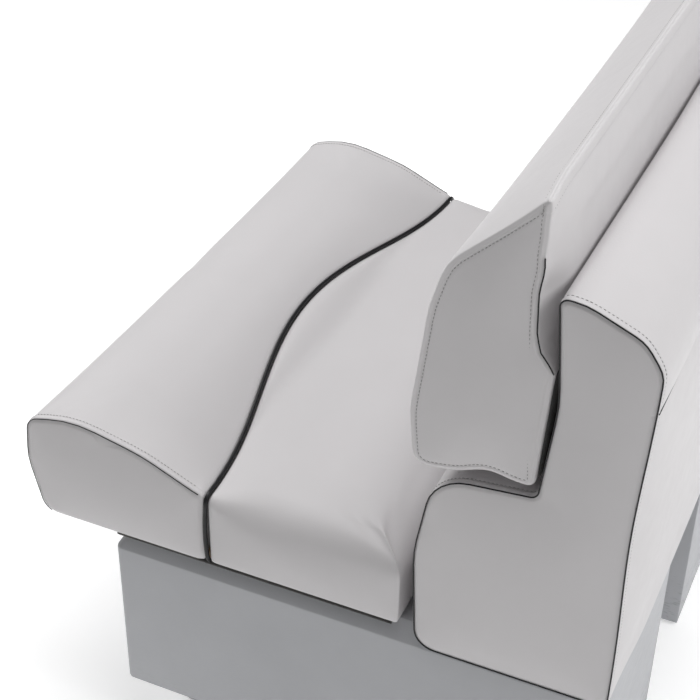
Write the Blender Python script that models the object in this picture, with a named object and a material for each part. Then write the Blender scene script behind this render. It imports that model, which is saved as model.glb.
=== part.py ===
"""Two-seat boat lounge bench with a full-width bolster pillow on its backrest.

Frame: metres, +Z up, the seat faces -Y, the floor is Z = 0 and the origin is under
the middle of the bench.  Outlines are drawn in millimetres in the bench's own side
view: Y runs back from the seat's cross seam and Z runs up from the base's deck.
"""
import math

import bmesh
import bpy
from mathutils import Vector

MM = 0.001

# Driving dimensions, in millimetres
WIDTH = 716.0               # across both cushion ends
DECK_HEIGHT = 292.0         # floor to the base's deck
SEAM_SETBACK = -115.4       # the cross seam's Y in the row frame
GAP = 0.3                   # between neighbours that touch
VINYL = 1.5                 # upholstery thickness
PLY = 12.0                  # plywood thickness
WALL = 5.0                  # moulded base wall
SHEET = 2.5                 # steel sheet of the hinges and brackets

HALF = WIDTH / 2
BASE_HALF = HALF - 4.0
BASE_FRONT = -121.0
BASE_REAR = 442.0
CHAMFER_IN = 13.0
CHAMFER_DOWN = 22.0
SKIRT_BOTTOM = -226.0       # the skirt stops here, above the toe recess
TOE_INSET = 48.0
LEG_WIDTH = 281.0
LEG_DEPTH = 150.0
LEG_GAP_TOP = -64.0         # top of the recess between the leg blocks
BASE_CORNER = 22.0          # plan radius of the base's corners
FLOOR = -DECK_HEIGHT
GLIDE_HEIGHT = 4.0
HATCH_HALF = 300.0
HATCH_FRONT = -76.0
HATCH_REAR = 168.0
BAY_REAR = BASE_REAR - LEG_DEPTH - WALL
BAY_FLOOR = -184.0          # top of the storage floor

SEAM_BOW = 54.0             # how far the cross seam bows forward at mid width
WELT_RADIUS = 2.5
SEAM_GAP = 6.4              # the two seat cushions stand apart by this, for the welt
SHOULDER = 30.0             # the main cushion rolls over at its ends with this radius
SEAT_BOTTOM = 3.0
SEAT_BOARD_LOW = 5.0
REAR_SEAM_Z = 348.0         # where the backrest's front and rear covers meet, behind
BACK_BOTTOM = 6.0
FRAME_HALF = HALF - 22.0    # outside of the backrest's frame
FRAME_TOP = 400.0

HINGE_Y = 228.0
HINGE_Z = 72.0
HINGE_OUT = 215.0           # hinge places, either side of the middle
BRACKET_OUT = 200.0
KNUCKLE_RADIUS = 4.6
PIN_RADIUS = 2.5
PIN_CLEARANCE = 0.05
RAIL_HALF = 240.0           # half length of the pillow's hook rails
SCREW_OUT = 190.0           # rail screws, either side of the middle

# Corners of each outline as (y, z, corner radius)
SEAT_CORNERS = [(-206, 3, 16), (-222.4, 75, 90), (-217, 129, 20), (-160, 145, 120), (-75, 126, 160),
                (0, 93, 70), (150, 100, 400), (221, 92, 26), (221, 3, 6)]
BACK_CORNERS = [(239, -17, 24), (233, 110, 160), (250, 212, 48), (352, 222, 8),
                (363, 330, 200), (352.8, 442.5, 9), (378, 441.5, 60), (432, 418.5, 36),
                (452, 390, 36), (446, -17, 8)]
PILLOW_CORNERS = [(228, 219, 18), (222, 282, 120), (236, 400, 150), (250, 449, 60), (339, 543, 4),
                  (350.5, 440, 60), (356.5, 362, 30), (349, 232, 10)]
FRAME_OUTLINE = [(275, 0.3), (275, 202), (385, 202), (385, 400), (427.7, 400), (427.7, 0.3)]
PILLOW_HOOK = [(346.6, 355), (348.6, 355), (348.6, 332.3), (355.4, 332.3),
               (355.4, 312), (353.4, 312), (353.4, 330.3), (346.6, 330.3)]
BACK_HOOK = [(356.2, 286), (356.2, 308), (350, 308), (350, 330),
             (352, 330), (352, 310), (358.2, 310), (358.2, 286)]


# ------------------------------------------------------------------ outlines

def rounded(corners, step=18.0):
    """Closed outline from (y, z, radius) corners; one point about every step degrees of arc."""
    outline = []
    count = len(corners)
    for index, (y, z, radius) in enumerate(corners):
        corner = Vector((y, z))
        before = (Vector(corners[index - 1][:2]) - corner).normalized()
        after = (Vector(corners[(index + 1) % count][:2]) - corner).normalized()
        inner = before.angle(after)
        turn = math.pi - inner
        reach = radius * math.tan(turn / 2)
        start = corner + before * reach
        end = corner + after * reach
        parts = max(1, round(math.degrees(turn) / step))
        centre = corner + (before + after).normalized() * (radius / math.sin(inner / 2))
        first = start - centre
        side = 1.0 if first.x * (end - centre).y - first.y * (end - centre).x > 0 else -1.0
        for part in range(parts + 1):
            angle = side * turn * part / parts
            cosine, sine = math.cos(angle), math.sin(angle)
            spot = Vector((first.x * cosine - first.y * sine, first.x * sine + first.y * cosine))
            outline.append(tuple(centre + spot))
    return outline


def inset(points, distance, closed=True):
    """Moves a path to its right-hand side, which is inward on a clockwise outline."""
    moved = []
    count = len(points)
    for index in range(count):
        here = Vector(points[index])
        back = Vector(points[index - 1]) if closed or index else None
        ahead = Vector(points[(index + 1) % count]) if closed or index < count - 1 else None
        normals = []
        if back is not None:
            along = (here - back).normalized()
            normals.append(Vector((along.y, -along.x)))
        if ahead is not None:
            along = (ahead - here).normalized()
            normals.append(Vector((along.y, -along.x)))
        middle = sum(normals, Vector((0, 0))).normalized()
        moved.append(tuple(here + middle * (distance / max(0.4, middle.dot(normals[0])))))
    return moved


def stretch(outline, first, last):
    """The run of outline points from the one nearest first to the one nearest last."""
    def nearest(spot):
        return min(range(len(outline)), key=lambda i: (Vector(outline[i]) - Vector(spot)).length)
    start, stop = nearest(first), nearest(last)
    if stop < start:
        return outline[start:] + outline[:stop + 1]
    return outline[start:stop + 1]


def ribbon(path, thickness):
    """A closed strip outline: the path, and the same path moved inward."""
    return path + inset(path, thickness, closed=False)[::-1]


# ------------------------------------------------------------------ making objects

def clear_scene():
    for item in list(bpy.data.objects):
        bpy.data.objects.remove(item, do_unlink=True)


def material(name, colour, roughness, metallic=0.0):
    made = bpy.data.materials.new(name)
    made.use_nodes = True
    shader = made.node_tree.nodes["Principled BSDF"]
    shader.inputs["Base Color"].default_value = (*colour, 1.0)
    shader.inputs["Roughness"].default_value = roughness
    shader.inputs["Metallic"].default_value = metallic
    made.diffuse_color = (*colour, 1.0)
    return made


def place(x, y, z):
    """A point of the side view, in millimetres, as a point of the row frame in metres."""
    return Vector((x * MM, (y + SEAM_SETBACK) * MM, (z + DECK_HEIGHT) * MM))


def carrier(name, y, z):
    """An empty on a joint's axis, which the pieces that move together hang from."""
    empty = bpy.data.objects.new(name, None)
    bpy.context.collection.objects.link(empty)
    empty.location = place(0, y, z)
    return empty


def keep(name, mesh_data, finish, parent=None, smooth=False):
    """Turns a bmesh in row-frame metres into an object, hung from its carrier if it has one."""
    bmesh.ops.recalc_face_normals(mesh_data, faces=mesh_data.faces)
    if parent is not None:
        bmesh.ops.translate(mesh_data, verts=mesh_data.verts, vec=-parent.location)
    mesh = bpy.data.meshes.new(name)
    mesh_data.to_mesh(mesh)
    mesh_data.free()
    mesh.materials.append(finish)
    if smooth:
        mesh.shade_smooth()
        mesh.set_sharp_from_angle(angle=math.radians(35))
    made = bpy.data.objects.new(name, mesh)
    bpy.context.collection.objects.link(made)
    made.parent = parent
    return made


def loft(name, sections, finish, parent=None, smooth=True):
    """Skins matching closed loops of points and caps both ends."""
    mesh_data = bmesh.new()
    rings = [[mesh_data.verts.new(point) for point in section] for section in sections]
    count = len(rings[0])
    for ring, following in zip(rings, rings[1:]):
        for index in range(count):
            after = (index + 1) % count
            mesh_data.faces.new((ring[index], ring[after], following[after], following[index]))
    mesh_data.faces.new(rings[0][::-1])
    mesh_data.faces.new(rings[-1])
    return keep(name, mesh_data, finish, parent, smooth)


def slab(name, outline, left, right, finish, parent=None, smooth=True):
    """A side-view outline carried across the bench from left to right."""
    sections = [[place(x, y, z) for y, z in outline] for x in (left, right)]
    return loft(name, sections, finish, parent, smooth)


def block(name, low, high, finish, parent=None):
    """A box between two corners of the side view, as (x, y, z) in millimetres."""
    outline = [(low[1], low[2]), (low[1], high[2]), (high[1], high[2]), (high[1], low[2])]
    return slab(name, outline, low[0], high[0], finish, parent, smooth=False)


def turned(centre, axis, stations, sides):
    """Rings of a round body: (distance along the axis, radius) stations from its centre."""
    sections = []
    for along, radius in stations:
        ring = []
        for side in range(sides):
            angle = 2 * math.pi * side / sides
            a, b = radius * math.cos(angle), radius * math.sin(angle)
            offset = {"X": (along, a, b), "Y": (a, along, b), "Z": (a, b, along)}[axis]
            ring.append(place(*(c + o for c, o in zip(centre, offset))))
        sections.append(ring)
    return sections


def cut(target, cutter):
    """Takes the cutter's volume out of the target."""
    cutter.hide_render = True
    cutter.display_type = "WIRE"
    boolean = target.modifiers.new("cut_" + cutter.name, "BOOLEAN")
    boolean.operation = "DIFFERENCE"
    boolean.solver = "EXACT"
    boolean.object = cutter


def join(target, extra):
    """Makes the extra body one with the target."""
    extra.hide_render = True
    extra.display_type = "WIRE"
    union = target.modifiers.new("join_" + extra.name, "BOOLEAN")
    union.operation = "UNION"
    union.solver = "EXACT"
    union.object = extra


def rod(name, centre, radius, length, axis, finish, parent=None, sides=12):
    stations = [(-length / 2, radius), (length / 2, radius)]
    return loft(name, turned(centre, axis, stations, sides), finish, parent)


def fastener(name, spot, shank, head, axis, length, head_length, finish, parent=None, way=1.0):
    """A round-head screw: it starts at its tip and runs the way of the axis to its head."""
    stations = [(0.0, shank), (length * way, shank), (length * way, head),
                ((length + head_length) * way, head)]
    return loft(name, turned(spot, axis, stations, 10), finish, parent)


def cord(name, points, radius, finish, parent=None, closed=False):
    """A round cord along points of the row frame."""
    curve = bpy.data.curves.new(name, "CURVE")
    curve.dimensions = "3D"
    curve.bevel_depth = radius * MM
    curve.bevel_resolution = 2
    curve.use_fill_caps = not closed
    spline = curve.splines.new("POLY")
    spline.points.add(len(points) - 1)
    origin = parent.location if parent is not None else Vector((0, 0, 0))
    for target, point in zip(spline.points, points):
        target.co = (*(point - origin), 1.0)
    spline.use_cyclic_u = closed
    made = bpy.data.objects.new(name, curve)
    curve.materials.append(finish)
    bpy.context.collection.objects.link(made)
    made.parent = parent
    return made


# ------------------------------------------------------------------ the moulded base

def plan_ring(half, front, rear, radius, z, parts=4):
    """A level ring of points with rounded corners, counter-clockwise from above."""
    corners = [(half, front, -90), (half, rear, 0), (-half, rear, 90), (-half, front, 180)]
    points = []
    for x, y, start in corners:
        centre_x = x - math.copysign(radius, x)
        centre_y = y + (radius if y == front else -radius)
        for part in range(parts + 1):
            angle = math.radians(start + 90 * part / parts)
            points.append(place(centre_x + radius * math.cos(angle),
                                centre_y + radius * math.sin(angle), z))
    return points


def base_shell(plastic):
    """Skirt, chamfered rim and deck with two rear leg blocks, moulded in one piece."""
    foot = FLOOR + GLIDE_HEIGHT
    levels = [(foot, 4.0), (foot + 5, 0.0), (-CHAMFER_DOWN, 0.0), (0.0, CHAMFER_IN)]
    shell = loft("base_shell", [plan_ring(BASE_HALF - inward, BASE_FRONT + inward,
                                          BASE_REAR - inward, BASE_CORNER, z, 6)
                                for z, inward in levels], plastic)
    leg_front = BASE_REAR - LEG_DEPTH
    leg_inner = BASE_HALF - LEG_WIDTH
    clear = 20.0
    void_low = FLOOR - clear
    void_half = BASE_HALF - WALL
    cut(shell, block("under_skirt", (-BASE_HALF - clear, BASE_FRONT - clear, void_low),
                     (BASE_HALF + clear, leg_front, SKIRT_BOTTOM), plastic))
    bay_levels = [(void_low, 0.0), (-CHAMFER_DOWN - 2, 0.0), (-WALL - 1, CHAMFER_IN)]
    cut(shell, loft("bay_void", [plan_ring(void_half - inward, BASE_FRONT + WALL + inward,
                                           BAY_REAR, BASE_CORNER - WALL, z)
                                 for z, inward in bay_levels], plastic))
    cut(shell, block("leg_gap", (-leg_inner, leg_front, void_low),
                     (leg_inner, BASE_REAR + clear, LEG_GAP_TOP), plastic))
    leg_floor, leg_ceiling, corner_wall = FLOOR + 12, -30.0, WALL + 6
    vent_half, vent_low, vent_high = 30.0, -150.0, -90.0
    for side in (-1, 1):
        ends = sorted((side * (leg_inner + WALL), side * (BASE_HALF - corner_wall)))
        cut(shell, block("leg_void", (ends[0], leg_front + WALL, leg_floor),
                         (ends[1], BASE_REAR - corner_wall, leg_ceiling), plastic))
        middle = (ends[0] + ends[1]) / 2
        cut(shell, block("leg_vent", (middle - vent_half, BAY_REAR - WALL, vent_low),
                         (middle + vent_half, leg_front + 2 * WALL, vent_high), plastic))
    cut(shell, block("hatch", (-HATCH_HALF, HATCH_FRONT, -60), (HATCH_HALF, HATCH_REAR, clear), plastic))
    return shell


def toe_plinth(plastic):
    """Inset ring that carries the front of the base above the toe recess."""
    low, high = FLOOR + GLIDE_HEIGHT, BAY_FLOOR - PLY - GAP
    half, front, rear = BASE_HALF - TOE_INSET, BASE_FRONT + TOE_INSET, BAY_REAR - 2
    corner, thick, clear = 24.0, 18.0, 9.0
    plinth = loft("toe_plinth", [plan_ring(half, front, rear, corner, z) for z in (low, high)], plastic)
    cut(plinth, loft("plinth_void", [plan_ring(half - thick, front + thick, rear - thick,
                                               corner - thick, z)
                                     for z in (low - clear, high + clear)], plastic))
    return plinth


def storage_floor(plastic):
    low, high = BAY_FLOOR - PLY, BAY_FLOOR
    inner = BASE_HALF - WALL - GAP
    return loft("storage_floor", [plan_ring(inner, BASE_FRONT + WALL + GAP, BAY_REAR - GAP,
                                            BASE_CORNER - WALL, z)
                                  for z in (low, high)], plastic)


def floor_glides(rubber):
    """One pad under the plinth's front and one under each leg block."""
    low, high = FLOOR, FLOOR + GLIDE_HEIGHT - GAP
    half, front = BASE_HALF - TOE_INSET - 4, BASE_FRONT + TOE_INSET + 3
    block("front_glide", (-half, front, low), (half, front + 12, high), rubber)
    margin = 24.0
    for side, word in ((-1, "left"), (1, "right")):
        ends = sorted((side * (BASE_HALF - LEG_WIDTH + margin), side * (BASE_HALF - margin)))
        block("leg_glide_" + word, (ends[0], BASE_REAR - LEG_DEPTH + margin, low),
              (ends[1], BASE_REAR - margin, high), rubber)


def deck_bumpers(rubber):
    """Strips beside the hatch that the closed seat rests on."""
    middle = (HATCH_HALF + BASE_HALF - CHAMFER_IN) / 2
    for side, word in ((-1, "left"), (1, "right")):
        ends = sorted((side * (middle - 9), side * (middle + 9)))
        block("deck_bumper_" + word, (ends[0], HATCH_FRONT, GAP), (ends[1], HATCH_REAR, 2.7), rubber)


# ------------------------------------------------------------------ the seat

def seam_y(x):
    """The cross seam bows forward at mid width, like one turn of a cosine."""
    return -SEAM_BOW / 2 * (1 + math.cos(2 * math.pi * x / WIDTH))


def seat_top(outline):
    """The run of the seat outline over its top, front to rear."""
    return stretch(outline, (-190, 140), (205, 93))


def height_at(run, y):
    """Height of a front-to-rear run at y."""
    for (y0, z0), (y1, z1) in zip(run, run[1:]):
        if y0 <= y <= y1:
            return z0 + (z1 - z0) * (y - y0) / (y1 - y0)
    return run[-1][1]


def front_path(outline, x):
    """From the seat's underside round its front and over its top to the cross seam."""
    edge = seam_y(x) - SEAM_GAP / 2
    start, steps = -100.0, 6
    path = [(-172.0, SEAT_BOTTOM)] + stretch(outline, (-184, 3), (-125, 145))
    path = [point for point in path if point[0] < start - 4 or point[1] < 60]
    top = seat_top(outline)
    for step in range(steps + 1):
        y = start + (edge - start) * step / steps
        path.append((y, height_at(top, y)))
    return path


def rear_path(outline, x):
    """From the cross seam over the seat's top and down its rear."""
    edge = seam_y(x) + SEAM_GAP / 2
    stop, steps = 30.0, 6
    top = seat_top(outline)
    path = []
    for step in range(steps + 1):
        y = edge + (stop - edge) * step / steps
        path.append((y, height_at(top, y)))
    tail = stretch(outline, (120, 98), (221, 12))
    return path + [point for point in tail if point[0] > stop + 8] + [(221.0, SEAT_BOTTOM)]


def across(half, count=16):
    return [-half + 2 * half * step / count for step in range(count + 1)]


def shoulder_stations(half):
    """Places across the main cushion with the share of its height that each keeps."""
    turns = (0, 30, 60, 90)
    rolled = [(half - SHOULDER * (1 - math.cos(math.radians(t))), SHOULDER * (1 - math.sin(math.radians(t))))
              for t in turns]
    inner = [(x, 0.0) for x in across(half - SHOULDER, 14)[1:-1]]
    left = [(-x, drop) for x, drop in rolled]
    return left + inner + rolled[::-1]


def main_cushion_sections(outline, half, shrink, bottom, past_seam=0.0):
    """Loops of the main cushion, shrunk inside its cover and carried on past the cross seam."""
    crown = 98.0
    sections = []
    for x, drop in shoulder_stations(half):
        path = inset(rear_path(outline, x), shrink, closed=False)
        path = [(y, z * (crown - drop) / crown) for y, z in path]
        path[-1] = (path[-1][0], bottom)
        if past_seam:
            path.insert(0, (path[0][0] - past_seam, path[0][1]))
        sections.append([place(x, y, z) for y, z in path + [(path[0][0], bottom)]])
    return sections


def front_foam_sections(outline, half, shrink, bottom):
    sections = []
    for x in across(half):
        path = inset(front_path(outline, x), shrink, closed=False)
        rising = next(i for i, point in enumerate(path) if point[1] > bottom)
        (y0, z0), (y1, z1) = path[rising - 1], path[rising]
        nose = y0 + (y1 - y0) * (bottom - z0) / (z1 - z0)
        sections.append([(nose + GAP, bottom)] + path[rising:] + [(path[-1][0], bottom)])
    count = min(len(path) for path in sections)
    if any(len(path) != count for path in sections):
        raise ValueError("front cushion loops do not match")
    return [[place(x, y, z) for y, z in path] for x, path in zip(across(half), sections)]


def seat(finishes, hinge):
    """Upholstered seat: board, two foams, two covers, welt and end panels."""
    outline = rounded(SEAT_CORNERS)
    board_high = SEAT_BOARD_LOW + PLY
    foam_low = board_high + GAP
    vinyl = finishes["vinyl"]

    board = block("seat_board", (-HALF + 8, -186, SEAT_BOARD_LOW), (HALF - 8, 214, board_high),
                  finishes["plywood"], hinge)
    loft("seat_foam_front", front_foam_sections(outline, HALF - VINYL - 2 * GAP, VINYL + 3 * GAP, foam_low),
         finishes["foam"], hinge)
    loft("seat_foam_main", main_cushion_sections(outline, HALF - VINYL - 2 * GAP, VINYL + 2 * GAP,
                                                 foam_low), finishes["foam"], hinge)

    strips = []
    for x in across(HALF - VINYL - GAP):
        strips.append([place(x, y, z) for y, z in ribbon(front_path(outline, x), VINYL)])
    loft("seat_cover_front", strips, vinyl, hinge)
    cover = loft("seat_cover_main", main_cushion_sections(outline, HALF, 0.0, SEAT_BOTTOM),
                 vinyl, hinge)
    cut(cover, loft("seat_cover_void", main_cushion_sections(outline, HALF - VINYL, VINYL, -30.0, 30.0),
                    vinyl, hinge))
    for side, word in ((-1, "left"), (1, "right")):
        path = front_path(outline, HALF)
        panel = path + [(path[-1][0], SEAT_BOTTOM)]
        ends = sorted((side * HALF, side * (HALF - VINYL)))
        slab("seat_front_end_" + word, panel, ends[0], ends[1], vinyl, hinge)

    top = seat_top(outline)
    sink = 0.8
    route = [(x, seam_y(x), height_at(top, seam_y(x)) - sink) for x in across(HALF - 12, 28)]
    end_x, end_y = HALF - WELT_RADIUS, seam_y(HALF)
    end_top = height_at(top, end_y)
    drop = [(end_x - 3, end_y, end_top - 3), (end_x, end_y, end_top - 10), (end_x, end_y, end_top / 2),
            (end_x, end_y, SEAT_BOTTOM + 4)]
    route = [(-x, y, z) for x, y, z in drop[::-1]] + route + drop
    cord("seat_welt", [place(*spot) for spot in route], WELT_RADIUS, finishes["piping"], hinge)

    block("seat_dust_cover", (-HALF + 14, -170, SEAT_BOTTOM + 0.5), (HALF - 14, 138, SEAT_BOTTOM + 1.6),
          finishes["cambric"], hinge)
    return board


# ------------------------------------------------------------------ the seat's hinges

def seat_hinge(word, x, finishes, hinge, board, shell):
    """A raised hinge: its pin runs behind the cushion, so the seat's rear edge turns clear."""
    steel = finishes["steel"]
    arm_half, knuckle_end = 14.0, 32.0
    arm_front = HINGE_Y - KNUCKLE_RADIUS - 0.6
    arm_rear = arm_front + SHEET
    leaf_front = HINGE_Y + KNUCKLE_RADIUS - SHEET
    leaf_rear = leaf_front + SHEET
    arm_outline = [(148, GAP), (148, GAP + 2.2), (arm_front, GAP + 2.2),
                   (arm_front, HINGE_Z), (arm_rear, HINGE_Z), (arm_rear, GAP)]
    leaf_outline = [(leaf_front, GAP), (leaf_front, HINGE_Z), (leaf_rear, HINGE_Z),
                    (leaf_rear, GAP + SHEET), (270, GAP + SHEET), (270, GAP)]
    arm = slab("hinge_arm_" + word, arm_outline, x - arm_half, x + arm_half, steel, hinge, smooth=False)
    leaf = slab("hinge_leaf_" + word, leaf_outline, x - knuckle_end, x + knuckle_end, steel, smooth=False)
    centre = (x, HINGE_Y, HINGE_Z)
    join(arm, rod("arm_knuckle_" + word, centre, KNUCKLE_RADIUS, 2 * arm_half, "X", steel, hinge, 16))
    join(leaf, rod("leaf_knuckle_" + word, centre, KNUCKLE_RADIUS, 2 * knuckle_end, "X", steel, None, 16))
    cut(leaf, block("knuckle_gap_" + word, (x - arm_half - 1, HINGE_Y - 10, HINGE_Z - 9),
                    (x + arm_half + 1, HINGE_Y + 10, HINGE_Z + 9), steel))
    bore = rod("pin_bore_" + word, centre, PIN_RADIUS + PIN_CLEARANCE, 2 * knuckle_end + 20, "X",
               steel, None, 16)
    cut(arm, bore)
    cut(leaf, bore)
    fastener("hinge_pin_" + word, (x - knuckle_end - 1, HINGE_Y, HINGE_Z), PIN_RADIUS, PIN_RADIUS + 1.4,
             "X", 2 * knuckle_end + 2, 1.6, steel)

    bolt_top = SEAT_BOARD_LOW + PLY - 1
    fastener("hinge_arm_bolt_" + word, (x, 158, bolt_top), 3.0, 6.0, "Z", bolt_top, 2.4, steel, hinge, -1.0)
    bolt_hole = rod("arm_bolt_hole_" + word, (x, 158, 8), 3.3, 30, "Z", steel, hinge, 10)
    cut(arm, bolt_hole)
    cut(board, bolt_hole)
    head_seat = 2 * GAP + SHEET
    fastener("hinge_leaf_screw_" + word, (x, 252, head_seat - 16), 2.6, 5.2, "Z", 16, 2.2, steel)
    screw_hole = rod("leaf_screw_hole_" + word, (x, 252, 0), 2.9, 40, "Z", steel, None, 10)
    cut(leaf, screw_hole)
    cut(shell, screw_hole)


# ------------------------------------------------------------------ the backrest

def raised(points, bottom):
    """Lifts the points of an outline that hang below a height up to it."""
    return [(y, max(z, bottom)) for y, z in points]


def back_frame(finishes):
    """Plywood frame: two cheeks between a lumbar, shelf, upper and rear board."""
    ply = finishes["plywood"]
    inner = FRAME_HALF - PLY
    for side, word in ((-1, "left"), (1, "right")):
        ends = sorted((side * inner, side * FRAME_HALF))
        slab("back_cheek_" + word, FRAME_OUTLINE, ends[0], ends[1], ply, smooth=False)
    span = inner - GAP
    block("back_lumbar_board", (-span, 275, BACK_BOTTOM), (span, 275 + PLY, 189.7), ply)
    block("back_shelf_board", (-span, 275, 190), (span, 397, 190 + PLY), ply)
    upper = block("back_upper_board", (-span, 385, 202.3), (span, 385 + PLY, FRAME_TOP), ply)
    block("back_rear_board", (-FRAME_HALF, 428, BACK_BOTTOM), (FRAME_HALF, 428 + PLY, FRAME_TOP), ply)
    return upper


def backrest(finishes):
    """Foam and covers round the frame, with a corded seam round each end panel."""
    outline = rounded(BACK_CORNERS)
    under = VINYL + GAP
    foam, vinyl = finishes["foam"], finishes["vinyl"]
    cover_half = HALF - 3.9

    lumbar_run = inset(stretch(outline, (236, 5), (352, 222)), under, closed=False)
    lumbar = raised(lumbar_run, BACK_BOTTOM) + [(354.0, 202.3), (274.7, 202.3), (274.7, BACK_BOTTOM)]
    slab("back_foam_lumbar", lumbar, -FRAME_HALF, FRAME_HALF, foam)

    upper_run = inset(stretch(outline, (354, 232), (440, 408)), under, closed=False)
    upper = upper_run + [(upper_run[-1][0], FRAME_TOP + GAP), (384.7, FRAME_TOP + GAP),
                         (384.7, 202.3), (354.3, 202.3)]
    upper_foam = slab("back_foam_upper", upper, -FRAME_HALF, FRAME_HALF, foam)

    top_path = raised(stretch(outline, (236, 5), (452, 377)), BACK_BOTTOM) + [(451.4, REAR_SEAM_Z)]
    cover = slab("back_cover_front", ribbon(top_path, VINYL), -cover_half, cover_half, vinyl)
    low_path = [(451.4, REAR_SEAM_Z - GAP), (446.6, 0), (446.0, -46)]
    slab("back_cover_rear", ribbon(low_path, VINYL), -cover_half, cover_half, vinyl)

    for side, word in ((-1, "left"), (1, "right")):
        pad_ends = sorted((side * (FRAME_HALF + GAP), side * cover_half))
        slab("back_end_pad_" + word, raised(inset(outline, under), BACK_BOTTOM), *pad_ends, foam)
        panel_ends = sorted((side * (HALF - 3.3), side * (HALF - 1.8)))
        slab("back_end_panel_" + word, inset(outline, 3.9), *panel_ends, vinyl)
        loop = [place(side * (HALF - 1.8), y, z) for y, z in inset(outline, 1.7)]
        cord("back_piping_" + word, loop, 1.6, finishes["piping"], closed=True)
    return cover, upper_foam


def back_bracket(word, x, finishes, shell):
    """Steel angle that ties the backrest's rear board to the deck."""
    steel = finishes["steel"]
    rear = 427.7
    outline = [(372, GAP), (372, GAP + SHEET), (rear - SHEET, GAP + SHEET), (rear - SHEET, 92),
               (rear, 92), (rear, GAP)]
    angle = slab("back_bracket_" + word, outline, x - 24, x + 24, steel, smooth=False)
    fastener("back_bracket_bolt_" + word, (x, 396, -14), 3.0, 6.0, "Z", 14 + 2 * GAP + SHEET, 3.0, steel)
    hole = rod("bracket_hole_" + word, (x, 396, 0), 3.3, 40, "Z", steel, None, 10)
    cut(angle, hole)
    cut(shell, hole)


# ------------------------------------------------------------------ the bolster pillow

def pillow(finishes, lift):
    """Board-backed foam bolster: front and rear covers, end caps and a dark backing cloth."""
    outline = rounded(PILLOW_CORNERS)
    under = VINYL + GAP
    vinyl = finishes["vinyl"]
    cover_half = HALF - VINYL - GAP
    ridge = (340, 534)
    board_front, board_rear, board_low, board_high = 333.0, 345.0, 250.0, 430.0

    board = block("pillow_board", (-HALF + 30, board_front, board_low), (HALF - 30, board_rear, board_high),
                  finishes["plywood"], lift)
    front_run = stretch(outline, (340, 232), ridge)
    rear_run = stretch(outline, ridge, (357, 368))
    foam_run = inset(front_run + rear_run[1:], under, closed=False)
    foam_run = [p for p in foam_run if p[1] > board_high + 4 or p[0] < board_rear - 4]
    pocket = [(349, board_high + GAP), (board_front - GAP, board_high + GAP),
              (board_front - GAP, board_low - GAP), (345, board_low - GAP), (345, 236)]
    slab("pillow_foam", foam_run + pocket, -cover_half + GAP, cover_half - GAP, finishes["foam"], lift)
    slab("pillow_cover_front", ribbon(front_run, VINYL), -cover_half, cover_half, vinyl, lift)
    slab("pillow_cover_rear", ribbon(rear_run[1:], VINYL),
         -cover_half, cover_half, vinyl, lift)
    for side, word in ((-1, "left"), (1, "right")):
        ends = sorted((side * HALF, side * (HALF - VINYL)))
        slab("pillow_end_cap_" + word, outline, ends[0], ends[1], vinyl, lift)
    backing = block("pillow_backing", (-HALF + 12, board_rear + GAP, 238), (HALF - 12, 346.3, 360),
                    finishes["cambric"], lift)
    return board, backing


def hook_rails(finishes, lift, board, backing, upper_board, cover, foam):
    """Interlocking hook rails: the pillow hangs on the backrest and lifts up off it."""
    steel = finishes["steel"]
    pillow_rail = slab("pillow_hook_rail", PILLOW_HOOK, -RAIL_HALF, RAIL_HALF, steel, lift, smooth=False)
    back_rail = slab("back_hook_rail", BACK_HOOK, -RAIL_HALF, RAIL_HALF, steel, smooth=False)
    for side, word in ((-1, "left"), (1, "right")):
        x = side * SCREW_OUT
        fastener("pillow_rail_screw_" + word, (x, 335, 346), 2.0, 4.0, "Y", 13.9, 1.6, steel, lift)
        hole = rod("pillow_rail_hole_" + word, (x, 342, 346), 2.3, 17, "Y", steel, lift, 10)
        for target in (pillow_rail, board, backing):
            cut(target, hole)
        fastener("back_rail_screw_" + word, (x, 394, 297), 2.0, 4.0, "Y", 38.6, 1.6, steel, None, -1.0)
        hole = rod("back_rail_hole_" + word, (x, 375, 297), 2.3, 46, "Y", steel, None, 10)
        for target in (back_rail, upper_board, cover, foam):
            cut(target, hole)


def main():
    clear_scene()
    finishes = {
        "plastic": material("moulded_plastic", (0.36, 0.37, 0.385), 0.5),
        "vinyl": material("marine_vinyl", (0.62, 0.605, 0.61), 0.45),
        "piping": material("black_piping", (0.012, 0.012, 0.014), 0.4),
        "foam": material("open_cell_foam", (0.75, 0.72, 0.6), 0.95),
        "plywood": material("marine_plywood", (0.48, 0.33, 0.19), 0.7),
        "cambric": material("black_cambric", (0.02, 0.02, 0.02), 0.95),
        "steel": material("stainless_steel", (0.62, 0.62, 0.63), 0.3, 1.0),
        "rubber": material("black_rubber", (0.02, 0.02, 0.02), 0.8),
    }
    hinge = carrier("seat_hinge_axis", HINGE_Y, HINGE_Z)
    lift = carrier("pillow_lift_axis", 352, 320)

    shell = base_shell(finishes["plastic"])
    toe_plinth(finishes["plastic"])
    storage_floor(finishes["plastic"])
    floor_glides(finishes["rubber"])
    deck_bumpers(finishes["rubber"])

    board = seat(finishes, hinge)
    upper_board = back_frame(finishes)
    cover, foam = backrest(finishes)
    pillow_board, backing = pillow(finishes, lift)
    hook_rails(finishes, lift, pillow_board, backing, upper_board, cover, foam)
    for side, word in ((-1, "left"), (1, "right")):
        seat_hinge(word, side * HINGE_OUT, finishes, hinge, board, shell)
        back_bracket(word, side * BRACKET_OUT, finishes, shell)


main()
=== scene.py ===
"""The looks of a two-seat boat lounge bench with a bolster pillow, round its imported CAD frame.

Shapes are drawn in millimetres in the bench's side view, as in the CAD: Y runs back from the
seat's cross seam and Z runs up from the base's deck.  P() turns them into row-frame metres.
"""
import math

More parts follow.
